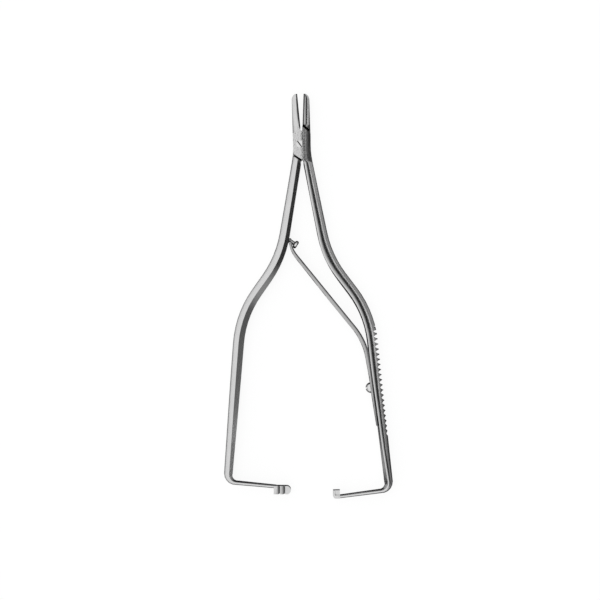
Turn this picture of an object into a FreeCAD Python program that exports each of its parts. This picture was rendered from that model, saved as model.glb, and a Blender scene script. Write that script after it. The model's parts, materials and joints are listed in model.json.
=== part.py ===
import FreeCAD, Part
import math
import os

# Surgical needle holder with a leaf spring between its handles, lying on its back and sprung open.
# Millimetres. The origin is on the pivot axis at the back plane, Y runs towards the jaws,
# and Z runs from the back of the forgings to their front.

# Forgings, seen from the front. Places across the tool are measured from its line of symmetry.
depth = 5.6                      # back to front
symmetry_x = 0.9                 # line of symmetry, to the right of the pivot
lap_clearance = 0.04             # running clearance between the two laps
upper_gap = 0.65                 # clearance at the shoulders beside the jaws
lower_gap = 0.8                  # clearance at the shoulders beside the handles
joint_half_width = 3.45
upper_shoulder = ((0.42, 7.28), (3.45, 4.5))
lower_shoulder = ((-0.15, -6.05), (-3.45, -3.82))
throat_y = 5.55                  # bottom of the slit between the jaws
throat_radius = 0.32
crotch_y = -6.9                  # round top of the slit between the handles
crotch_width = 1.0
crotch_end_y = -11.0

# Handle centreline of the right handle: across, along, and the bend radius at each corner.
handle_top = (1.6, 7.8)
joint_corner = (1.6, -3.6, 40.0)
neck_corner = (9.13, -44.67, 42.0)
shoulder_corner = (25.41, -67.07, 40.0)
grip_lean = 5.5                  # degrees that the grip leans outwards
right_arm_y = -137.0             # where the centreline turns into the bottom arm
left_arm_y = -132.7
arm_corner_radius = 3.3
arm_slope = 6.5                  # degrees that each arm drops towards its end
right_arm_end = 11.9             # from the symmetry line to the hook
left_arm_end = 12.6              # from the symmetry line to the ratchet block

# Bar section: place along the tool, width, share of the width under the inner bevel, bevel drop.
bar_sections = (
    (7.8, 3.7, 0.2, 0.5),
    (1.0, 3.7, 0.40, 0.8),
    (-6.2, 3.7, 0.42, 0.9),
    (-14.0, 3.7, 0.36, 0.85),
    (-44.0, 4.2, 0.38, 1.05),
    (-62.0, 4.35, 0.46, 1.6),
    (-84.0, 4.3, 0.48, 1.8),
    (-111.0, 3.8, 0.44, 1.7),
    (-125.0, 3.35, 0.38, 1.5),
)
bar_flat = 0.3                   # flat along the ridge
arm_width = 1.6
arm_bevel_share = 0.25
arm_bevel_drop = 0.8
arm_end_width = 1.3
arm_depth = 4.6
straight_step = 15.0             # between sections along the straight runs
bend_step = 3.2                  # between sections round the bends
corner_step = 1.1                # between sections round the bottom corner

# Grip serrations on the outer side of the right handle.
serration_start = -70.4
serration_pitch = 2.03
serration_count = 23
serration_land = 0.3             # left between two grooves
serration_depth = 0.5
serration_last_depth = 0.2

# Jaws. Both gripping faces pass the pivot at the same distance, so that they meet when closed.
face_offset = 0.91
left_face_lean = 4.34            # degrees from the Y axis at rest
right_face_lean = 2.9
jaw_tip_y = 20.2
jaw_root_y = 3.2
jaw_root_width = 3.3
jaw_tip_width = 2.2
jaw_tip_depth = 2.6
jaw_full_y = 6.0                 # the jaw is as deep as the joint from here down
jaw_nose = 2.6                   # length of the rounded nose
jaw_bevel_share = 0.16
jaw_bevel_drop = 0.45
jaw_tip_flat = 0.1               # share of the width that is flat at the front
jaw_root_flat = 0.3
insert_thickness = 0.55
insert_end_y = 6.9

# Plan of each lap beside the shoulders: across from the symmetry line on its own side, and along.
lap_edge = 0.08                  # how far the lap reaches past the joint's width
lap_plan = ((1.9, -6.6), (1.25, 1.0), (0.54, 5.35), (0.42, 7.6))
lap_crown = (-0.6, 6.2)
lap_top_y = 4.2

# Pivot screw, seated flush in the front lap and threaded into the back lap.
screw_head_diameter = 2.95
screw_head_height = 1.3
screw_shank_diameter = 2.1
screw_clearance = 0.03
slot_width = 0.4
slot_depth = 0.45
slot_angle = -54.0

# Leaf spring: the side that faces right, from its tip to its tail.
spring_tip_y = -38.3
spring_tip_slope = 76.0          # degrees of the turned-up tip
spring_tip_corner = (-41.6, 12.0)
spring_slope = 51.9              # degrees of the long straight run
spring_bend = (-77.6, 22.9)
spring_tail_y = -111.5
spring_seat_clearance = 0.04
spring_width = 4.2
spring_thickness = ((-38.0, 0.95), (-44.0, 1.45), (-60.0, 1.7), (-78.0, 1.7), (-88.0, 1.1), (-93.5, 0.8),
                    (-99.0, 0.8), (-112.0, 0.3))
spring_step = 3.0
spring_fork_width = 2.2
spring_fork_length = 3.4

# Spring screw, driven into the inner side of the right handle.
spring_screw_y = -96.2
spring_screw_head_diameter = 4.2
spring_screw_head_height = 1.9
spring_screw_shank_diameter = 2.0
spring_screw_length = 2.8
spring_screw_slot_width = 0.6
spring_screw_slot_depth = 0.7

# Spring stud, pressed into the inner side of the left handle.
stud_y = -37.2
stud_axis_angle = -34.0
stud_collar_diameter = 2.0
stud_collar_length = 0.6
stud_neck_diameter = 1.6
stud_neck_length = 2.5
stud_head_diameter = 3.2
stud_head_length = 1.45
stud_edge = 0.4
stud_shank_length = 2.4

# Ratchet block on the left arm.
block_length = 6.75
block_height = 3.3
block_depth = 4.2
block_top_y = -134.55
block_end_x = -5.87
block_tilt = -1.5                # degrees
tooth_pitch = 2.0
tooth_count = 3
tooth_first = 2.25               # from the rounded end to the first groove
tooth_groove_width = 0.85
tooth_groove_depth = 0.45
tooth_notch_depth = 0.3

# Hook on the right arm.
hook_left_x = 10.75
hook_width = 2.65
hook_top_y = -136.6
hook_bottom_y = -139.85
hook_corner_radius = 1.0
hook_rim = 0.65                  # rim left at the front by the sunk face
hook_sink = 0.6

middle = depth / 2
joint_reach = 3 * jaw_tip_y      # clear of the joint in every direction
arc_fullness = 0.5523            # how far a quarter arc's handles reach, as a share of its radius
margin = 1.0                     # how far a cutting shape stands out of what it cuts
upward = FreeCAD.Vector(0, 0, 1)


def point(x, y, z=0.0):
    return FreeCAD.Vector(x, y, z)


def between(place, knots, column=1):
    """Value of a column of knots at a place, with straight lines between the knots."""
    if place >= knots[0][0]:
        return knots[0][column]
    for upper, lower in zip(knots, knots[1:]):
        if place >= lower[0]:
            share = (upper[0] - place) / (upper[0] - lower[0])
            return upper[column] + share * (lower[column] - upper[column])
    return knots[-1][column]


def rounded_path(start, corners, end):
    """Edges of straight runs joined by tangent arcs; each corner is a point with its radius."""
    edges = []
    here = start
    points = [corner for corner, radius in corners] + [end]
    for index, (corner, radius) in enumerate(corners):
        incoming = (corner - here).normalize()
        outgoing = (points[index + 1] - corner).normalize()
        turn = incoming.getAngle(outgoing)
        reach = radius * math.tan(turn / 2)
        arc_start = corner - incoming * reach
        arc_end = corner + outgoing * reach
        inward = (outgoing - incoming).normalize()
        centre = corner + inward * (radius / math.cos(turn / 2))
        edges.append(Part.LineSegment(here, arc_start).toShape())
        edges.append(Part.Arc(arc_start, centre - inward * radius, arc_end).toShape())
        here = arc_end
    edges.append(Part.LineSegment(here, end).toShape())
    return edges


def stations(edges, line_step, arc_step):
    """Points and directions along the edges, at most a step apart."""
    places = []
    for edge in edges:
        step = line_step if isinstance(edge.Curve, Part.Line) else arc_step
        count = math.ceil(edge.Length / step)
        for index in range(count):
            at = edge.getParameterByLength(edge.Length * index / count)
            places.append((edge.valueAt(at), edge.tangentAt(at).normalize()))
    last = edges[-1]
    places.append((last.valueAt(last.LastParameter), last.tangentAt(last.LastParameter).normalize()))
    return places


def quarter_arc(start, ahead, end):
    """Quarter of an ellipse; ahead is the half axis along which it leaves its start."""
    corner = start + ahead
    curve = Part.BezierCurve()
    curve.setPoles([start, start + ahead * arc_fullness, end + (corner - end) * arc_fullness, end])
    return curve.toShape()


def bar_section(place, outward, inner, outer, bevel, flat, drop, height):
    """Closed section of a forged bar: bevelled inner side, narrow flats and an elliptic outer side."""
    ridge = place + outward * (bevel - inner)
    shoulder = ridge + outward * flat
    reach = outward * (inner + outer - bevel - flat)
    inner_edge = place - outward * inner
    front = upward * (middle + height / 2)
    back = upward * (middle - height / 2)
    side = shoulder + reach + upward * middle
    rounded = [quarter_arc(shoulder + front, reach, side),
               quarter_arc(side, upward * (-height / 2), shoulder + back)]
    corners = [shoulder + back, ridge + back, inner_edge + back + upward * drop,
               inner_edge + front - upward * drop, ridge + front, shoulder + front]
    lines = [Part.makeLine(start, end) for start, end in zip(corners, corners[1:])]
    return Part.Wire(rounded + lines)


def prism(outline, low, high):
    """Solid between two heights over a closed outline of points or edges."""
    if isinstance(outline[0], FreeCAD.Vector):
        wire = Part.makePolygon(outline + [outline[0]])
    else:
        wire = Part.Wire(Part.__sortEdges__(outline))
    wire.translate(upward * low)
    return Part.Face(wire).extrude(upward * (high - low))


def half_plane(line, gap, side):
    """Tall prism beyond a shoulder line of the lap joint, mirrored for the left side."""
    (inner_u, inner_y), (outer_u, outer_y) = line
    inner = point(symmetry_x + side * inner_u, inner_y)
    outer = point(symmetry_x + side * outer_u, outer_y)
    along = (outer - inner).normalize()
    away = point(-along.y, along.x)
    if away.y * inner_y < 0:
        away = away * -1
    start = inner - along * joint_reach + away * gap
    end = outer + along * joint_reach + away * gap
    outline = [start, end, end + away * joint_reach, start + away * joint_reach]
    return prism(outline, -margin, depth + margin)


def face_point(y, lean, turn):
    """Point at a height on a gripping face that leans to the left (turn 1) or right (turn -1)."""
    angle = math.radians(turn * lean)
    return point((face_offset - y * math.sin(angle)) / math.cos(angle), y)


def jaw_blank(lean, turn):
    """Tapered jaw with a rounded nose; turn is 1 for the left jaw and -1 for the right jaw."""
    tip = face_point(jaw_tip_y, lean, turn)
    root = face_point(jaw_root_y, lean, turn)
    length = jaw_tip_y - jaw_root_y

    def section(run):
        share = run / length
        rounding = math.sqrt(1 - (1 - min(1.0, run / jaw_nose)) ** 2)
        width = (jaw_tip_width + (jaw_root_width - jaw_tip_width) * share) * rounding
        taper = min(1.0, run / (jaw_tip_y - jaw_full_y))
        height = (jaw_tip_depth + (depth - jaw_tip_depth) * taper) * (0.5 + 0.5 * rounding)
        flat = width * (jaw_tip_flat + (jaw_root_flat - jaw_tip_flat) * min(1.0, share))
        return bar_section(tip + (root - tip) * share, point(-turn, 0), 0.0, width, width * jaw_bevel_share,
                           flat, jaw_bevel_drop * rounding, height)

    nose = [section(jaw_nose * (1 - math.cos(math.radians(angle)))) for angle in (25, 40, 53, 66, 78, 90)]
    body = [nose[-1], section(jaw_tip_y - jaw_full_y), section(length)]
    return Part.makeLoft(nose, True).fuse(Part.makeLoft(body, True, True))


def insert_seat(lean, turn):
    """Prism of the strip along a gripping face that holds the insert."""
    start = face_point(insert_end_y, lean, turn)
    end = face_point(jaw_tip_y + margin, lean, turn)
    along = (end - start).normalize()
    outward = point(-turn * along.y, turn * along.x)
    far = outward * insert_thickness
    near = outward * -margin
    return prism([start + near, end + near, end + far, start + far], -margin, depth + margin)


def bar_path(arm_y, arm_reach):
    """Centreline of the right handle from the joint to the end of its bottom arm."""
    grip = math.tan(math.radians(grip_lean))
    shoulder = shoulder_corner
    arm_corner = point(symmetry_x + shoulder[0] + grip * (shoulder[1] - arm_y), arm_y)
    drop = math.tan(math.radians(arm_slope)) * (arm_corner.x - symmetry_x - arm_reach)
    end = point(symmetry_x + arm_reach, arm_y - drop)
    corners = [(point(symmetry_x + across, along), radius)
               for across, along, radius in (joint_corner, neck_corner, shoulder_corner)]
    start = point(symmetry_x + handle_top[0], handle_top[1])
    return rounded_path(start, corners + [(arm_corner, arm_corner_radius)], end)


def handle_blank(arm_y, arm_reach):
    """Right handle with its bottom arm, lofted along the centreline."""
    edges = bar_path(arm_y, arm_reach)

    def section(place, direction, turned, reached):
        outward = point(-direction.y, direction.x)
        width, bevel, drop = (between(place.y, bar_sections, column) for column in (1, 2, 3))
        width += turned * (arm_width - width) + reached * (arm_end_width - arm_width)
        bevel += turned * (arm_bevel_share - bevel)
        drop += turned * (arm_bevel_drop - drop)
        height = depth + turned * (arm_depth - depth)
        return bar_section(place, outward, width / 2, width / 2, bevel * width, bar_flat, drop, height)

    bar = [section(place, direction, 0, 0)
           for place, direction in stations(edges[:-2], straight_step, bend_step)]
    turns = stations([edges[-2]], corner_step, corner_step)
    corner = [section(place, direction, index / (len(turns) - 1), 0)
              for index, (place, direction) in enumerate(turns)]
    end = edges[-1].valueAt(edges[-1].LastParameter)
    arm_end = section(end, turns[-1][1], 1, 1)
    return Part.makeLoft(bar[:-1] + corner + [arm_end], True, True)


def mirrored(shape):
    """The same shape on the other side of the tool's line of symmetry."""
    return shape.mirror(point(symmetry_x, 0), point(1, 0))


def lap_plate(side):
    """Flat plate of one lap: the front lap reaches to the right (side 1), the back lap to the left."""
    outline = [(-joint_half_width - lap_edge, lap_top_y), (-joint_half_width, lower_shoulder[1][1]),
               lower_shoulder[0], *lap_plan, (0.0, throat_y), lap_crown]
    low, high = (middle + lap_clearance / 2, depth) if side > 0 else (0, middle - lap_clearance / 2)
    return prism([point(symmetry_x + side * across, along) for across, along in outline], low, high)


def throat():
    """Slit between the two jaws, round at its bottom."""
    bottom = (face_point(throat_y, left_face_lean, 1) + face_point(throat_y, right_face_lean, -1)) * 0.5
    left = [face_point(throat_y, left_face_lean, 1), face_point(jaw_tip_y, left_face_lean, 1)]
    right = [face_point(jaw_tip_y, right_face_lean, -1), face_point(throat_y, right_face_lean, -1)]
    slit = prism(left + right, -margin, depth + margin)
    return slit.fuse(cylinder(bottom - upward * margin, upward, 2 * throat_radius, depth + 2 * margin))


def crotch():
    """Slit between the two handles below the joint, round at its top."""
    height = depth + 2 * margin
    slit = Part.makeBox(crotch_width, crotch_y - crotch_end_y, height,
                        point(symmetry_x - crotch_width / 2, crotch_end_y, -margin))
    return slit.fuse(cylinder(point(symmetry_x, crotch_y, -margin), upward, crotch_width, height))


def lap_pocket(side):
    """Room that one half leaves for the other half's lap, between its two shoulders."""
    if side > 0:
        low, high = -margin, middle + lap_clearance / 2
    else:
        low, high = middle - lap_clearance / 2, depth + margin
    reach = joint_reach / 2
    slab = Part.makeBox(joint_reach, joint_reach, high - low, point(symmetry_x - reach, -reach, low))
    slab = slab.cut(half_plane(upper_shoulder, upper_gap, -side))
    return slab.cut(half_plane(lower_shoulder, lower_gap, -side))


def forged_half(side, handle, jaw):
    """One forging: its jaw, its lap and the handle on the other side of the pivot."""
    lapped = lap_plate(side).fuse(handle)
    lapped = lapped.cut(half_plane(upper_shoulder, 0.0, side))
    lapped = lapped.cut(throat()).cut(crotch())
    return lapped.fuse(jaw).cut(lap_pocket(side)).removeSplitter()


def serrations():
    """Grooves across the outer side of the right grip, fading towards its end."""
    edges = bar_path(right_arm_y, right_arm_end)
    grip = edges[-3]
    start = grip.valueAt(grip.FirstParameter)
    direction = grip.tangentAt(grip.FirstParameter).normalize()
    outward = point(-direction.y, direction.x)
    first = (serration_start - start.y) / direction.y
    grooves = []
    for index in range(serration_count):
        place = start + direction * (first + index * serration_pitch)
        share = index / (serration_count - 1)
        cut = serration_depth + share * (serration_last_depth - serration_depth)
        outer = between(place.y, bar_sections, 1) / 2
        crest = place + outward * outer
        clear = crest + outward * margin
        flank = direction * ((serration_pitch - serration_land) / 2)
        notch = [crest - outward * cut, crest + flank, clear + flank, clear - flank, crest - flank]
        grooves.append(prism(notch, 0, depth))
    return grooves[0].multiFuse(grooves[1:])


def place_at(edges, y):
    """Point and direction where a path crosses a height."""
    level = Part.makeLine(point(-200, y), point(200, y))
    for edge in edges:
        gap, pairs, support = edge.distToShape(level)
        if gap < 1e-6:
            place = pairs[0][0]
            return place, edge.tangentAt(edge.Curve.parameter(place)).normalize()
    raise ValueError("the path does not reach this height")


def inner_face(y):
    """Point on the inner side of the right handle at a height, and its outward direction."""
    place, direction = place_at(bar_path(right_arm_y, right_arm_end), y)
    outward = point(-direction.y, direction.x)
    return place - outward * (between(y, bar_sections, 1) / 2), outward


def cylinder(start, axis, diameter, length):
    return Part.makeCylinder(diameter / 2, length, start, axis)


def leaf_spring():
    """Leaf that lies on the right handle and reaches across to the stud on the left handle."""
    tail, outward = inner_face(spring_tail_y)
    grip_top, outward = inner_face(spring_screw_y)
    along = (tail - grip_top).normalize()
    seat = grip_top - outward * spring_seat_clearance
    bend = seat + along * ((spring_bend[0] - seat.y) / along.y)
    end = seat + along * ((spring_tail_y - seat.y) / along.y)
    slope = math.tan(math.radians(spring_slope))
    corner = point(bend.x - (spring_tip_corner[0] - bend.y) / slope, spring_tip_corner[0])
    tip = point(corner.x - (spring_tip_y - corner.y) / math.tan(math.radians(spring_tip_slope)), spring_tip_y)
    path = rounded_path(tip, [(corner, spring_tip_corner[1]), (bend, spring_bend[1])], end)
    left = []
    for place, direction in stations(path, spring_step, spring_step):
        side = point(-direction.y, direction.x)
        left.append(place - side * between(place.y, spring_thickness))
    curve = Part.BSplineCurve()
    curve.interpolate(left)
    outline = path + [Part.makeLine(path[-1].valueAt(path[-1].LastParameter), left[-1]), curve.toShape(),
                      Part.makeLine(left[0], tip)]
    leaf = prism(outline, middle - spring_width / 2, middle + spring_width / 2)
    far_left = tip.x - joint_reach / 2
    fork_y = spring_tip_y - spring_fork_length
    slot = Part.makeBox(joint_reach, joint_reach, spring_fork_width,
                        point(far_left, fork_y, middle - spring_fork_width / 2))
    slot = slot.fuse(cylinder(point(far_left, fork_y, middle), point(1, 0), spring_fork_width, joint_reach))
    place, outward = spring_screw_seat()
    hole = cylinder(place - outward * spring_width, outward,
                    spring_screw_shank_diameter + 2 * screw_clearance, 2 * spring_width)
    return leaf.cut(slot).cut(hole)


def spring_screw_seat():
    """Place on the grip's inner side where the spring screw stands, and the way into the grip."""
    place, outward = inner_face(spring_screw_y)
    return place + upward * middle, outward


def spring_screw():
    """Round-headed slotted screw that clamps the leaf to the right handle."""
    place, outward = spring_screw_seat()
    leaf = between(spring_screw_y, spring_thickness) + 2 * spring_seat_clearance
    under_head = place - outward * leaf
    shank = cylinder(under_head, outward, spring_screw_shank_diameter, leaf + spring_screw_length)
    rise = spring_screw_head_height
    radius = spring_screw_head_diameter / 2
    ball = (radius ** 2 + rise ** 2) / (2 * rise)
    head = Part.makeSphere(ball, under_head + outward * (ball - rise))
    head = head.common(cylinder(under_head - outward * rise, outward, spring_screw_head_diameter, rise))
    slot = Part.makeBox(spring_screw_slot_width, joint_reach, spring_screw_slot_depth,
                        point(-spring_screw_slot_width / 2, -joint_reach / 2, 0))
    turn = FreeCAD.Rotation(upward.cross(outward), outward.cross(upward), outward)
    slot.Placement = FreeCAD.Placement(under_head - outward * rise, turn)
    return shank.fuse(head.cut(slot)).removeSplitter()


def stud_seat():
    """Place on the left handle's inner side where the stud stands, and the stud's axis."""
    place, outward = inner_face(stud_y)
    angle = math.radians(stud_axis_angle)
    return point(2 * symmetry_x - place.x, place.y, middle), point(math.cos(angle), math.sin(angle))


def spring_stud():
    """Headed stud that the spring's forked tip straddles."""
    place, axis = stud_seat()
    shank = cylinder(place - axis * stud_shank_length, axis, stud_neck_diameter,
                     stud_shank_length + stud_neck_length)
    collar = cylinder(place, axis, stud_collar_diameter, stud_collar_length)
    head = cylinder(place + axis * stud_neck_length, axis, stud_head_diameter, stud_head_length)
    rims = [edge for edge in head.Edges if isinstance(edge.Curve, Part.Circle)]
    head = head.makeChamfer(stud_edge, rims)
    return shank.multiFuse([collar, head]).removeSplitter()


def pivot_screw():
    """Slotted screw, flush at the front and at the back."""
    under_head = depth - screw_head_height
    shank = cylinder(point(0, 0, 0), upward, screw_shank_diameter, under_head)
    head = cylinder(point(0, 0, under_head), upward, screw_head_diameter, screw_head_height)
    slot = Part.makeBox(screw_head_diameter + 2 * margin, slot_width, slot_depth,
                        point(-screw_head_diameter / 2 - margin, -slot_width / 2, depth - slot_depth))
    slot.rotate(point(0, 0), upward, slot_angle)
    return shank.fuse(head).cut(slot)


def ratchet_block():
    """Block with a rounded end, and saw-toothed grooves across its underside and its front."""
    radius = block_height / 2
    low = middle - block_depth / 2
    bottom = block_top_y - block_height
    body = Part.makeBox(block_length - radius, block_height, block_depth,
                        point(block_end_x - block_length, bottom, low))
    rounding = point(block_end_x - radius, bottom + radius, low)
    body = body.fuse(cylinder(rounding, upward, block_height, block_depth))
    front = low + block_depth
    below = bottom - margin
    for index in range(tooth_count - 1):
        steep = block_end_x - tooth_first - index * tooth_pitch
        slanted = steep - tooth_groove_width
        notch = [point(steep, below), point(steep, bottom + tooth_notch_depth), point(slanted, bottom),
                 point(slanted, below)]
        body = body.cut(prism(notch, low - margin, front + margin))
        groove = [point(steep, below, front), point(steep, below, front - tooth_groove_depth),
                  point(slanted, below, front)]
        face = Part.Face(Part.makePolygon(groove + groove[:1]))
        body = body.cut(face.extrude(point(0, block_height + 2 * margin)))
    body.rotate(point(block_end_x, block_top_y), upward, block_tilt)
    return body


def hook():
    """Upturned end of the right arm, with a rim around the sunk face of its tooth."""
    low = middle - block_depth / 2
    height = hook_top_y - hook_bottom_y
    body = Part.makeBox(hook_width, height, block_depth, point(hook_left_x, hook_bottom_y, low))
    heel = [edge for edge in body.Edges if abs(edge.BoundBox.XMax - hook_left_x) < 1e-6
            and abs(edge.BoundBox.YMax - hook_bottom_y) < 1e-6]
    body = body.makeFillet(hook_corner_radius, heel)
    corner = point(hook_left_x + hook_rim, hook_bottom_y + 2 * hook_rim, low + block_depth - hook_sink)
    sunk = Part.makeBox(hook_width, height, hook_sink + margin, corner)
    return body.cut(sunk)


def front_half():
    """Left jaw, front lap and right handle, forged in one piece."""
    jaw = jaw_blank(left_face_lean, 1).cut(insert_seat(left_face_lean, 1))
    handle = handle_blank(right_arm_y, right_arm_end).cut(serrations()).fuse(hook())
    half = forged_half(1, handle, jaw)
    head_bore = screw_head_diameter + 2 * screw_clearance
    under_head = point(0, 0, depth - screw_head_height - screw_clearance)
    half = half.cut(cylinder(under_head, upward, head_bore, depth))
    half = half.cut(cylinder(point(0, 0, -margin), upward, screw_shank_diameter + 2 * screw_clearance, depth))
    place, outward = spring_screw_seat()
    start = place - outward * margin
    return half.cut(cylinder(start, outward, spring_screw_shank_diameter, spring_screw_length + margin))


def back_half():
    """Right jaw, back lap and left handle, forged in one piece."""
    jaw = jaw_blank(right_face_lean, -1).cut(insert_seat(right_face_lean, -1))
    handle = mirrored(handle_blank(left_arm_y, left_arm_end)).fuse(ratchet_block())
    half = forged_half(-1, handle, jaw)
    half = half.cut(cylinder(point(0, 0, -margin), upward, screw_shank_diameter, depth + 2 * margin))
    place, axis = stud_seat()
    half = half.cut(cylinder(place, axis, stud_collar_diameter + 2 * screw_clearance, stud_neck_length))
    return half.cut(cylinder(place - axis * stud_shank_length, axis, stud_neck_diameter,
                             stud_shank_length + margin))


def jaw_insert(lean, turn):
    """Hard strip along a gripping face."""
    return jaw_blank(lean, turn).common(insert_seat(lean, turn)).cut(lap_pocket(turn))


pieces = {
    "front_half": front_half(),
    "back_half": back_half(),
    "left_jaw_insert": jaw_insert(left_face_lean, 1),
    "right_jaw_insert": jaw_insert(right_face_lean, -1),
    "pivot_screw": pivot_screw(),
    "leaf_spring": leaf_spring(),
    "spring_screw": spring_screw(),
    "spring_stud": spring_stud(),
}

os.makedirs("parts", exist_ok=True)
for name, shape in pieces.items():
    solids = shape.Solids
    print(name, "solids", len(solids), "volume", round(shape.Volume, 1), "valid", shape.isValid())
    shape = solids[0] if len(solids) == 1 else Part.makeCompound(solids)
    shape.exportStep(os.path.join("parts", name + ".step"))
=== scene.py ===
import json
import math
import bmesh
import bpy
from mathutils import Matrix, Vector


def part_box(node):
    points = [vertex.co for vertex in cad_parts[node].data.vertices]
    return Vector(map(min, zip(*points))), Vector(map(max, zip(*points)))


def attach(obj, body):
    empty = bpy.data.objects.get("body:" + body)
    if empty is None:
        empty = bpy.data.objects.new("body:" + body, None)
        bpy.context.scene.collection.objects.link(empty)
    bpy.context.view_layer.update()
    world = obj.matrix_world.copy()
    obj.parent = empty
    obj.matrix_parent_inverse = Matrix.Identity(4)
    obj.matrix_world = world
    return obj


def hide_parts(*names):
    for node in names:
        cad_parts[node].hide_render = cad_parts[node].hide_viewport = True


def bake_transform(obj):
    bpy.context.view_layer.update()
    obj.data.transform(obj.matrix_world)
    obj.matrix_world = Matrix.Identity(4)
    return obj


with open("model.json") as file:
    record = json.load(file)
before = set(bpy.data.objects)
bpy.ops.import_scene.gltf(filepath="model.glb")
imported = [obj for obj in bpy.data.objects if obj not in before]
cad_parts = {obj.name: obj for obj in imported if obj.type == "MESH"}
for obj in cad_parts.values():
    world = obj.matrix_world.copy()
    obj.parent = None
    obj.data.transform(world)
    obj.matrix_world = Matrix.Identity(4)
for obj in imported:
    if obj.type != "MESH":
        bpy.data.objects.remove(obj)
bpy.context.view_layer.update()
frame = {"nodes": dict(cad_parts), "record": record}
print("frame loaded")

mm = 0.001                                # the scene is in metres
middle = 2.8 * mm                         # half the tool's thickness
scene = bpy.context.scene
scene.view_settings.view_transform = "Standard"


# Camera: straight above the tool, which lies flat

cameraSet = {
    "lens": 100.0,                        # millimetres
    "sensor": 36.0,                       # millimetres across
    "clipEnd": 10.0,
    "fieldWidth": 237.0 * mm,             # what the frame spans at the tool's middle
    "aim": Vector((-0.96, -61.37, 2.8)) * mm,
    "turnDeg": -1.04,                     # the tool lies slightly turned in the frame
}


def addCamera():
    data = bpy.data.cameras.new("camera")
    data.lens = cameraSet["lens"]
    data.sensor_width = cameraSet["sensor"]
    data.clip_end = cameraSet["clipEnd"]
    camera = bpy.data.objects.new("camera", data)
    distance = cameraSet["fieldWidth"] * data.lens / data.sensor_width
    camera.location = cameraSet["aim"] + Vector((0, 0, distance))
    camera.rotation_euler = (0, 0, math.radians(cameraSet["turnDeg"]))
    scene.collection.objects.link(camera)
    scene.camera = camera


addCamera()
print("camera placed")


# Small helpers

def toLinear(hexColour):
    # an sRGB colour as linear light, opaque
    values = []
    for i in (1, 3, 5):
        c = int(hexColour[i:i + 2], 16) / 255
        values.append(c / 12.92 if c <= 0.04045 else ((c + 0.055) / 1.055) ** 2.4)
    return (*values, 1.0)


def addNode(tree, kind, inputs=None, settings=None):
    # one node with its settings; an input may be a value or another node's output
    node = tree.nodes.new(kind)
    for name, value in (settings or {}).items():
        setattr(node, name, value)
    for name, value in (inputs or {}).items():
        if isinstance(value, bpy.types.NodeSocket):
            tree.links.new(value, node.inputs[name])
        else:
            node.inputs[name].default_value = value
    return node


def spans(fromMin, fromMax, toMin=0.0, toMax=1.0):
    # the ends between which a Map Range node reads and writes
    return {"From Min": fromMin, "From Max": fromMax, "To Min": toMin, "To Max": toMax}


def newMaterial(name):
    material = bpy.data.materials.new(name)
    material.use_nodes = True
    material.node_tree.nodes.clear()
    return material, material.node_tree


def smoothShare(value, start, end):
    # 0 before the start, 1 beyond the end, and an even curve between them
    share = min(max((value - start) / (end - start), 0.0), 1.0)
    return share * share * (3 - 2 * share)


def along(rows, at):
    # a value between the rows of a table that goes up along the tool
    if at <= rows[0][0]:
        return rows[0][1]
    for (start, first), (end, second) in zip(rows, rows[1:]):
        if at < end:
            return first + (second - first) * (at - start) / (end - start)
    return rows[-1][1]


# Studio: soft light all round, with a black flag high on the right. Above the horizon its lower edge
# leaves a light strip on the right, and a dim one further down the frame.

studioSet = {
    "level": 1.0,
    # how dark the flag is, by degrees from straight up towards the right
    "flag": ((0, 0.0), (5, 0.06), (14, 0.3), (28, 0.6), (38, 0.97), (69, 0.97), (73, 0.1), (81, 0.05),
             (85, 0.75), (90, 0.8)),
    "flagLow": ((0, 0.0), (5, 0.06), (14, 0.3), (28, 0.6), (38, 0.97), (69, 0.97), (78, 0.85), (90, 0.82)),
    "lowDeg": (5.0, -3.0),                # the bearings between which flagLow takes over from flag
    "flagTurnDeg": -14.0,                 # which way the flag faces, towards the bottom of the frame
    "flagEndDeg": (-62.0, -28.0),         # the bearings where the flag ends, and where it is whole
}


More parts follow.
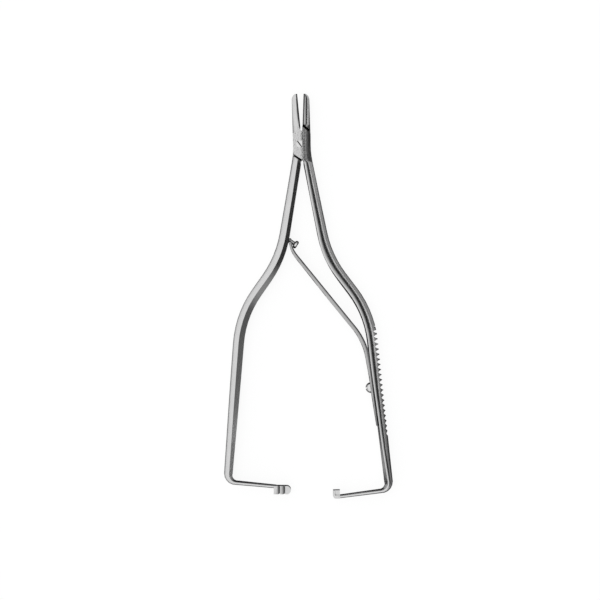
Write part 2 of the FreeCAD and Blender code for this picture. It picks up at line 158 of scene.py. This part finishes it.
def addStudio():
    world = bpy.data.worlds.new("studio")
    scene.world = world
    world.use_nodes = True
    tree = world.node_tree
    tree.nodes.clear()
    place = addNode(tree, "ShaderNodeTexCoord")
    turned = addNode(tree, "ShaderNodeMapping", {
        "Vector": place.outputs["Generated"], "Rotation": (0, 0, -math.radians(studioSet["flagTurnDeg"]))})
    axes = addNode(tree, "ShaderNodeSeparateXYZ", {"Vector": turned.outputs["Vector"]})
    angle = addNode(tree, "ShaderNodeMath", {
        0: axes.outputs["X"], 1: axes.outputs["Z"]}, {"operation": "ARCTAN2"})
    share = addNode(tree, "ShaderNodeMapRange", {"Value": angle.outputs[0], **spans(0.0, math.pi / 2)})
    ramps = []
    for stops in (studioSet["flag"], studioSet["flagLow"]):
        ramp = addNode(tree, "ShaderNodeValToRGB", {"Fac": share.outputs["Result"]})
        elements = ramp.color_ramp.elements
        elements.remove(elements[-1])
        for degrees, dark in stops:
            element = elements.new(degrees / 90) if degrees else elements[0]
            element.position = degrees / 90
            element.color = (dark, dark, dark, 1.0)
        ramps.append(ramp)
    around = addNode(tree, "ShaderNodeSeparateXYZ", {"Vector": place.outputs["Generated"]})
    bearing = addNode(tree, "ShaderNodeMath", {
        0: around.outputs["Y"], 1: around.outputs["X"]}, {"operation": "ARCTAN2"})
    whole, low = (addNode(tree, "ShaderNodeMapRange", {
        "Value": bearing.outputs[0], **spans(*(math.radians(end) for end in studioSet[ends]))})
        for ends in ("flagEndDeg", "lowDeg"))
    mixed = addNode(tree, "ShaderNodeMix", {
        "Factor": low.outputs["Result"], 2: ramps[0].outputs["Color"], 3: ramps[1].outputs["Color"]})
    dark = addNode(tree, "ShaderNodeMath", {
        0: mixed.outputs[0], 1: whole.outputs["Result"]}, {"operation": "MULTIPLY"})
    left = addNode(tree, "ShaderNodeMath", {0: 1.0, 1: dark.outputs[0]}, {"operation": "SUBTRACT"})
    light = addNode(tree, "ShaderNodeBackground", {
        "Color": left.outputs[0], "Strength": studioSet["level"]})
    addNode(tree, "ShaderNodeOutputWorld", {"Surface": light.outputs["Background"]})


floorSet = {
    "half": 1.5,
    "colour": "#F6F6F6",
    "shadow": 0.15,                       # how much of the real shadow the lens sees
    "white": 1.06,                        # makes up for the paper's own grey where it is unshadowed
    # two shades that reflections see on the paper: from how closed to how open it lies there, and
    # how light that makes it
    "contact": (0.74, 0.98, 0.18, 1.0),
    "contactMm": 20.0,                    # how far from the tool this shade reaches, all round
    "contactSamples": 8,
    "cast": (0.85, 1.0, 0.12, 0.95),
    "castMm": 60.0,                       # how far this shade reaches, on the side away from the light
    "castSamples": 16,
    "light": (-0.5, 0.6, 0.62),           # where the light comes from
    "dimMm": (0.0, 70.0),                 # across the tool, where the paper begins to dim and stays dim
    "dim": 0.3,
}


def addFloor():
    mesh = bpy.data.meshes.new("floor")
    work = bmesh.new()
    bmesh.ops.create_grid(work, x_segments=1, y_segments=1, size=floorSet["half"])
    work.to_mesh(mesh)
    work.free()
    floor = bpy.data.objects.new("floor", mesh)
    scene.collection.objects.link(floor)
    # matt paper that looks white to the lens apart from a faint shadow, and is shaded in reflections
    material, tree = newMaterial("white paper sweep")
    paper = addNode(tree, "ShaderNodeBsdfDiffuse", {"Color": toLinear(floorSet["colour"])})
    rays = addNode(tree, "ShaderNodeLightPath")
    light = addNode(tree, "ShaderNodeCombineXYZ", dict(zip("XYZ", floorSet["light"])))
    near = addNode(tree, "ShaderNodeAmbientOcclusion", {
        "Distance": floorSet["contactMm"] * mm}, {"samples": floorSet["contactSamples"]})
    far = addNode(tree, "ShaderNodeAmbientOcclusion", {
        "Distance": floorSet["castMm"] * mm, "Normal": light.outputs["Vector"]},
        {"samples": floorSet["castSamples"]})
    contact = addNode(tree, "ShaderNodeMapRange", {
        "Value": near.outputs["AO"], **spans(*floorSet["contact"])})
    cast = addNode(tree, "ShaderNodeMapRange", {"Value": far.outputs["AO"], **spans(*floorSet["cast"])})
    place = addNode(tree, "ShaderNodeTexCoord")
    axes = addNode(tree, "ShaderNodeSeparateXYZ", {"Vector": place.outputs["Object"]})
    dimmed = addNode(tree, "ShaderNodeMapRange", {
        "Value": axes.outputs["X"],
        **spans(*(end * mm for end in floorSet["dimMm"]), 1.0, floorSet["dim"])})
    shade = addNode(tree, "ShaderNodeMath", {
        0: contact.outputs["Result"], 1: cast.outputs["Result"]}, {"operation": "MULTIPLY"})
    lit = addNode(tree, "ShaderNodeMath", {
        0: shade.outputs[0], 1: dimmed.outputs["Result"]}, {"operation": "MULTIPLY"})
    white = addNode(tree, "ShaderNodeEmission", {"Strength": floorSet["white"]})
    shaded = addNode(tree, "ShaderNodeEmission", {"Strength": lit.outputs[0]})
    toLens = addNode(tree, "ShaderNodeMixShader", {
        0: floorSet["shadow"], 1: white.outputs[0], 2: paper.outputs[0]})
    reflected = addNode(tree, "ShaderNodeMath", {
        0: rays.outputs["Is Glossy Ray"], 1: rays.outputs["Is Transmission Ray"]}, {"operation": "MAXIMUM"})
    seen = addNode(tree, "ShaderNodeMixShader", {
        0: rays.outputs["Is Camera Ray"], 1: paper.outputs[0], 2: toLens.outputs[0]})
    both = addNode(tree, "ShaderNodeMixShader", {
        0: reflected.outputs[0], 1: seen.outputs[0], 2: shaded.outputs[0]})
    addNode(tree, "ShaderNodeOutputMaterial", {"Surface": both.outputs[0]})
    mesh.materials.append(material)


addStudio()
addFloor()
print("studio lit")


# Materials

lapSet = {
    "lengthMm": (-6.2, 6.8),              # where the lap's finish begins and ends along the tool
    "fadeMm": 1.0,
    "blastMm": 0.55,                      # its blasted grain, drawn coarse enough to show
    "blastDetail": 2.0,
    "blastDepthMm": 0.22,
    "roughness": 0.3,
    "crownFromMm": 0.2,                   # its front seems to fall away from here towards the right
    "crown": 130.0,                       # how fast, in metres per square metre
}


def lapFinish(tree, place, bump, gloss):
    # the lap joint's faces are blasted matt, and slightly crowned across
    axes = addNode(tree, "ShaderNodeSeparateXYZ", {"Vector": place.outputs["Object"]})
    low, high = (end * mm for end in lapSet["lengthMm"])
    fade = lapSet["fadeMm"] * mm
    after = addNode(tree, "ShaderNodeMapRange", {"Value": axes.outputs["Y"], **spans(low - fade, low)})
    before = addNode(tree, "ShaderNodeMapRange", {"Value": axes.outputs["Y"], **spans(high + fade, high)})
    lap = addNode(tree, "ShaderNodeMath", {
        0: after.outputs["Result"], 1: before.outputs["Result"]}, {"operation": "MULTIPLY"})
    blast = addNode(tree, "ShaderNodeTexNoise", {
        "Vector": place.outputs["Object"], "Scale": 1 / (mm * lapSet["blastMm"]),
        "Detail": lapSet["blastDetail"]})
    matt = addNode(tree, "ShaderNodeBump", {
        "Height": blast.outputs["Fac"], "Strength": lap.outputs[0],
        "Distance": lapSet["blastDepthMm"] * mm, "Normal": bump.outputs["Normal"]})
    beyond = addNode(tree, "ShaderNodeMath", {
        0: axes.outputs["X"], 1: lapSet["crownFromMm"] * mm}, {"operation": "SUBTRACT"})
    reach = addNode(tree, "ShaderNodeMath", {0: beyond.outputs[0], 1: 0.0}, {"operation": "MAXIMUM"})
    square = addNode(tree, "ShaderNodeMath", {0: reach.outputs[0], 1: 2.0}, {"operation": "POWER"})
    drop = addNode(tree, "ShaderNodeMath", {
        0: square.outputs[0], 1: -lapSet["crown"]}, {"operation": "MULTIPLY"})
    crowned = addNode(tree, "ShaderNodeBump", {
        "Height": drop.outputs[0], "Strength": lap.outputs[0], "Distance": 1.0,
        "Normal": matt.outputs["Normal"]})
    rougher = addNode(tree, "ShaderNodeMix", {2: gloss, 3: lapSet["roughness"], "Factor": lap.outputs[0]})
    return crowned, rougher.outputs[0]


metalSet = {
    "grainDetail": 3.0,
    "grainFineness": 0.6,                 # how much its finer layers of noise weigh
    "grainSpread": (0.3, 0.7),            # the part of the noise that the roughness follows
    "blotchDetail": 2.0,
    "creviceShadeMm": 3.0,                     # how near other metal must come for a crevice to get painted shade
    "creviceShadeColour": "#0C0C0C",
    "creviceShadeSamples": 8,
}


def metalMaterial(look):
    # a grey mirror broken up by its finishing marks, with black shade painted into its crevices
    material, tree = newMaterial(look["name"])
    place = addNode(tree, "ShaderNodeTexCoord")
    grainPlace = addNode(tree, "ShaderNodeMapping", {
        "Vector": place.outputs["Object"],
        "Scale": tuple(1 / (mm * size) for size in look["grainMm"])})
    grain = addNode(tree, "ShaderNodeTexNoise", {
        "Vector": grainPlace.outputs["Vector"], "Scale": 1.0,
        "Detail": metalSet["grainDetail"], "Roughness": metalSet["grainFineness"]})
    blotch = addNode(tree, "ShaderNodeTexNoise", {
        "Vector": place.outputs["Object"], "Scale": 1 / (mm * look["blotchMm"]),
        "Detail": metalSet["blotchDetail"]})
    rough = addNode(tree, "ShaderNodeMapRange", {
        "Value": grain.outputs["Fac"], **spans(*metalSet["grainSpread"], *look["roughness"])})
    tone = addNode(tree, "ShaderNodeMix", {
        "Factor": blotch.outputs["Fac"], 6: toLinear(look["colours"][0]), 7: toLinear(look["colours"][1])},
        {"data_type": "RGBA"})
    # painted shade: the base colour goes towards black where other metal closes in round it
    openness = addNode(tree, "ShaderNodeAmbientOcclusion", {
        "Distance": metalSet["creviceShadeMm"] * mm}, {"samples": metalSet["creviceShadeSamples"]})
    unshaded = addNode(tree, "ShaderNodeMapRange", {
        "Value": openness.outputs["AO"], **spans(*look["creviceShade"])})
    colour = addNode(tree, "ShaderNodeMix", {
        "Factor": unshaded.outputs["Result"], 6: toLinear(metalSet["creviceShadeColour"]), 7: tone.outputs[2]},
        {"data_type": "RGBA"})
    bump = addNode(tree, "ShaderNodeBump", {
        "Height": grain.outputs["Fac"], "Strength": look["bump"], "Distance": look["bumpMm"] * mm})
    shape, gloss = bump, rough.outputs["Result"]
    if look["lap"]:
        shape, gloss = lapFinish(tree, place, bump, gloss)
    steel = addNode(tree, "ShaderNodeBsdfPrincipled", {
        "Base Color": colour.outputs[2], "Metallic": 1.0, "Roughness": gloss,
        "Normal": shape.outputs["Normal"]})
    addNode(tree, "ShaderNodeOutputMaterial", {"Surface": steel.outputs[0]})
    return material


# Each finish's grain is drawn coarser than the real one, so that it shows at this distance. A crevice gets
# black painted shade where it is less open than the first number, and none where it is more open than the
# second.
materialSet = {
    # belt grinding along the tool leaves fine lengthwise lines, so its reflections run in soft streaks
    "satin_steel": {
        "name": "forged stainless steel, satin ground", "grainMm": (0.4, 5.0, 0.4), "blotchMm": 6.0,
        "roughness": (0.13, 0.23), "colours": ("#CCCCCC", "#D8D8D8"), "bump": 0.4, "bumpMm": 0.02,
        "lap": True, "creviceShade": (0.25, 0.65)},
    # the pressed and sintered grain scatters light, so the inserts look darker and duller than the jaws
    "hard_insert": {
        "name": "sintered tungsten carbide, diamond cut", "grainMm": (0.3, 0.3, 0.3), "blotchMm": 4.0,
        "roughness": (0.3, 0.4), "colours": ("#4C4C4C", "#585858"), "bump": 0.5, "bumpMm": 0.03,
        "lap": False, "creviceShade": (0.25, 0.65)},
    # turning and buffing leave almost no marks, so heads and slots show bright faces and black edges, with
    # painted shade deepening the slots
    "turned_steel": {
        "name": "turned stainless steel, buffed", "grainMm": (0.3, 0.3, 0.3), "blotchMm": 4.0,
        "roughness": (0.1, 0.18), "colours": ("#D8D8D8", "#E0E0E0"), "bump": 0.1, "bumpMm": 0.01,
        "lap": False, "creviceShade": (0.5, 0.9)},
    # cold rolling makes the strip smooth and a little greyer, and its reflections stay unbroken
    "spring_steel": {
        "name": "cold rolled spring steel, hardened and polished", "grainMm": (1.0, 0.3, 0.3),
        "blotchMm": 8.0,
        "roughness": (0.14, 0.22), "colours": ("#A6A6A6", "#BABABA"), "bump": 0.2, "bumpMm": 0.01,
        "lap": False, "creviceShade": (0.25, 0.85)},
}
materials = {slot: metalMaterial(look) for slot, look in materialSet.items()}
print("materials made")


# Steel pieces

pieceSet = {
    "merge": 0.001 * mm,                  # corners closer together than this are one
    "crisp": math.radians(28.0),          # edges sharper than this stay crisp
    "bodies": frame["record"]["behaviour"]["bodies"],
    "slots": {row["node"]: row["material_slot"] for row in frame["record"]["subparts"]},
}


def startCopy(node):
    # the node's own shape with its loose triangles joined up
    work = bmesh.new()
    work.from_mesh(frame["nodes"][node].data)
    bmesh.ops.remove_doubles(work, verts=work.verts, dist=pieceSet["merge"])
    return work


def addPiece(work, node):
    # a smoothly shaded piece with crisp edges, standing for the node
    for face in work.faces:
        face.smooth = True
    for edge in work.edges:
        edge.smooth = len(edge.link_faces) == 2 and edge.calc_face_angle(0.0) < pieceSet["crisp"]
    name = node.replace("_", " ").title().replace(" ", "")
    mesh = bpy.data.meshes.new(name)
    work.to_mesh(mesh)
    work.free()
    piece = bpy.data.objects.new(name, mesh)
    scene.collection.objects.link(piece)
    slot = pieceSet["slots"][node]
    mesh.materials.append(materials[slot])
    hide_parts(node)
    return piece


def ridePiece(work, node):
    piece = addPiece(work, node)
    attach(piece, next(body for body, nodes in pieceSet["bodies"].items() if node in nodes))


halfSet = {
    "insertMm": 0.72,                     # how thick the insert is across the tool
    "jawMm": (5.0, 8.0),                  # where the jaw's rounding begins along the tool, and is whole
    "slope": 0.3,                         # how fast the jaw's front and back fall away from the insert
    # how far the right handle's ridges run nearer to its inner side, along the tool
    "ridgeMm": ((-131, 0.0), (-126, 0.6), (-117, 0.8), (-105, 1.2), (-93, 1.6), (-69, 1.8), (-57, 1.8),
                (-46, 1.8), (-34, 1.3), (-10, 1.3), (0, 0.8), (6, 0.5)),
    "ridgeFadeMm": (0.8, 2.2),            # across the tool, where that begins and is whole
    "ridgeHeight": 0.93,                  # a corner is on a ridge above this share of the height
    "ridgeTilt": 0.15,                    # or on the outer side where it faces this far outwards
    "lapHeight": 0.2,                     # below this the other half's lap needs its room
    "behindLapMm": (10, 24),              # so the ridge moves there only down the tool from here
    "cornerMm": 0.1,                      # how near a corner is to the insert
    "cornerDropMm": 0.2,                  # the chamfer between the left jaw and its insert
}


def insertLine(insert, outward):
    # where the insert meets its jaw across the tool, for a place along it; outward is the jaw's side
    low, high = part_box(insert)
    thick = halfSet["insertMm"] * mm
    root, tip = (low.x + thick, high.x) if outward > 0 else (high.x - thick, low.x)

    def across(y):
        return root + (tip - root) * min(max((y - low.y) / (high.y - low.y), 0.0), 1.0)
    return across


def addHalf(node, insert, outward):
    # a forged half; its jaw falls away to the outside right from the insert
    work = startCopy(node)
    work.normal_update()
    start, whole = (place * mm for place in halfSet["jawMm"])
    line = insertLine(insert, outward)
    for vert in work.verts:
        height = (vert.co.z - middle) / middle
        away = (vert.co.x - line(vert.co.y)) * outward
        jaw = smoothShare(vert.co.y, start, whole)
        vert.co.z -= jaw * halfSet["slope"] * max(away, 0.0) * height
        if node == "front_half":
            if away < halfSet["cornerMm"] * mm:
                vert.co.z -= jaw * halfSet["cornerDropMm"] * mm * height
            ridge = abs(height) > halfSet["ridgeHeight"] or vert.normal.x > halfSet["ridgeTilt"]
            across = smoothShare(vert.co.x / mm, *halfSet["ridgeFadeMm"]) if ridge else 0.0
            if height < halfSet["lapHeight"]:
                across *= smoothShare(-vert.co.y / mm, *halfSet["behindLapMm"])
            vert.co.x -= along(halfSet["ridgeMm"], vert.co.y / mm) * mm * across * abs(height)
    ridePiece(work, node)


insertSet = {
    "gripMm": 0.08,                       # how near a corner is to the gripping face
    "taller": 1.13,                       # how much taller that face is, for a flatter bevel beside it
}


def addInsert(node, outward):
    # a hard insert whose gripping face stands nearly as high as the jaw
    work = startCopy(node)
    line = insertLine(node, outward)
    for vert in work.verts:
        beyond = (vert.co.x - line(vert.co.y)) * outward + halfSet["insertMm"] * mm
        if beyond < insertSet["gripMm"] * mm:
            vert.co.z = middle + (vert.co.z - middle) * insertSet["taller"]
    ridePiece(work, node)


addHalf("front_half", "left_jaw_insert", -1)
addHalf("back_half", "right_jaw_insert", 1)
addInsert("left_jaw_insert", -1)
addInsert("right_jaw_insert", 1)
for node in ("spring_screw", "spring_stud"):
    ridePiece(startCopy(node), node)
print("halves, inserts and spring fittings placed")


screwSet = {
    "rimMm": 1.3,                         # corners further from the axis than this are on the head's rim
    "chamferMm": 0.2,
    "rimTurn": 1.0,                       # edges of the head turn more than this, in radians
    "slotMm": 0.4,                        # the slot's corners lie closer to its middle than this
    "widerMm": 0.1,                       # worn a little wider on each side
    "level": 0.9,                         # a face is level when it looks up at least this much
    "straight": 0.999,                    # an edge runs along the slot above this share
}


def addPivotScrew():
    # the head's rim is chamfered, so that a fine line shows round it, and its slot is worn wide
    work = startCopy("pivot_screw")
    work.normal_update()
    merge = pieceSet["merge"]
    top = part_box("pivot_screw")[1].z
    slotFloor = next(face for face in work.faces
                     if face.normal.z > screwSet["level"] and face.calc_center_median().z < top - merge)
    # a triangle of the floor has its longer wall edge second to its diagonal
    wall = sorted(slotFloor.edges, key=lambda edge: edge.calc_length())[-2]
    run = (wall.verts[1].co - wall.verts[0].co).normalized()
    side = Vector((-run.y, run.x, 0.0))
    for vert in work.verts:
        offset = vert.co.dot(side)
        if abs(offset) < screwSet["slotMm"] * mm and vert.co.z > slotFloor.verts[0].co.z - merge:
            vert.co += side * math.copysign(screwSet["widerMm"] * mm, offset)
    rim = []
    for edge in work.edges:
        onRim = all(vert.co.z > top - merge and vert.co.xy.length > screwSet["rimMm"] * mm
                    for vert in edge.verts)
        turns = edge.calc_face_angle(0.0) > screwSet["rimTurn"]
        alongSlot = abs((edge.verts[1].co - edge.verts[0].co).normalized().dot(run)) >= screwSet["straight"]
        if onRim and turns and not alongSlot:
            rim.append(edge)
    bmesh.ops.bevel(work, geom=rim, offset=screwSet["chamferMm"] * mm, offset_type="OFFSET", segments=1,
                    profile=0.5, affect="EDGES", material=-1, clamp_overlap=True)
    ridePiece(work, "pivot_screw")


addPivotScrew()
print("pivot screw placed")


leafSet = {
    "start": Vector((11.0, -77.6, 2.8)) * mm,     # the bend runs from beside the screw to the stud
    "end": Vector((-4.5, -42.0, 2.8)) * mm,
    "cuts": 16,                           # along the bend
    "lengthwise": 5,                      # across the narrow front and back
    "crownMm": 0.3,                       # how far their edges fall away
    "rightSide": Vector((0.8, 0.6, 0.0)),
    "wallTilt": 0.1,                      # a side wall looks up less than this
    "besideMm": (74, 84),                 # down the tool, where the leaf comes to lie beside the handle
    "thickerMm": 0.3,                     # and how much nearer its front then comes to it
}


def addLeafSpring():
    # a flat spring whose narrow front and back are rounded, cut across so that it bends smoothly
    work = startCopy("leaf_spring")
    low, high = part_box("leaf_spring")
    side = work.verts.layers.float.new("side")
    for end in (low.z, high.z):
        rim = [vert for vert in work.verts if abs(vert.co.z - end) < pieceSet["merge"]]
        for vert in rim:
            walls = [face.normal for face in vert.link_faces if abs(face.normal.z) < leafSet["wallTilt"]]
            vert[side] = math.copysign(1.0, sum(wall.dot(leafSet["rightSide"]) for wall in walls))
        across = [edge for edge in work.edges if edge.verts[0] in rim and edge.verts[1] in rim
                  and edge.verts[0][side] * edge.verts[1][side] < 0]
        bmesh.ops.subdivide_edges(work, edges=across, cuts=leafSet["lengthwise"])
        inwards = math.copysign(leafSet["crownMm"] * mm, high.z + low.z - 2 * end)
        for vert in work.verts:
            if abs(vert.co.z - end) < pieceSet["merge"]:
                beside = max(vert[side], 0.0) * smoothShare(-vert.co.y / mm, *leafSet["besideMm"])
                vert.co.z += inwards * abs(vert[side]) ** 2
                vert.co.x += beside * leafSet["thickerMm"] * mm
    run = leafSet["end"] - leafSet["start"]
    for i in range(leafSet["cuts"] + 1):
        bmesh.ops.bisect_plane(work, geom=work.verts[:] + work.edges[:] + work.faces[:],
                               plane_co=leafSet["start"] + run * (i / leafSet["cuts"]), plane_no=run)
    piece = addPiece(work, "leaf_spring")
    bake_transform(piece)


addLeafSpring()
print("leaf spring placed")
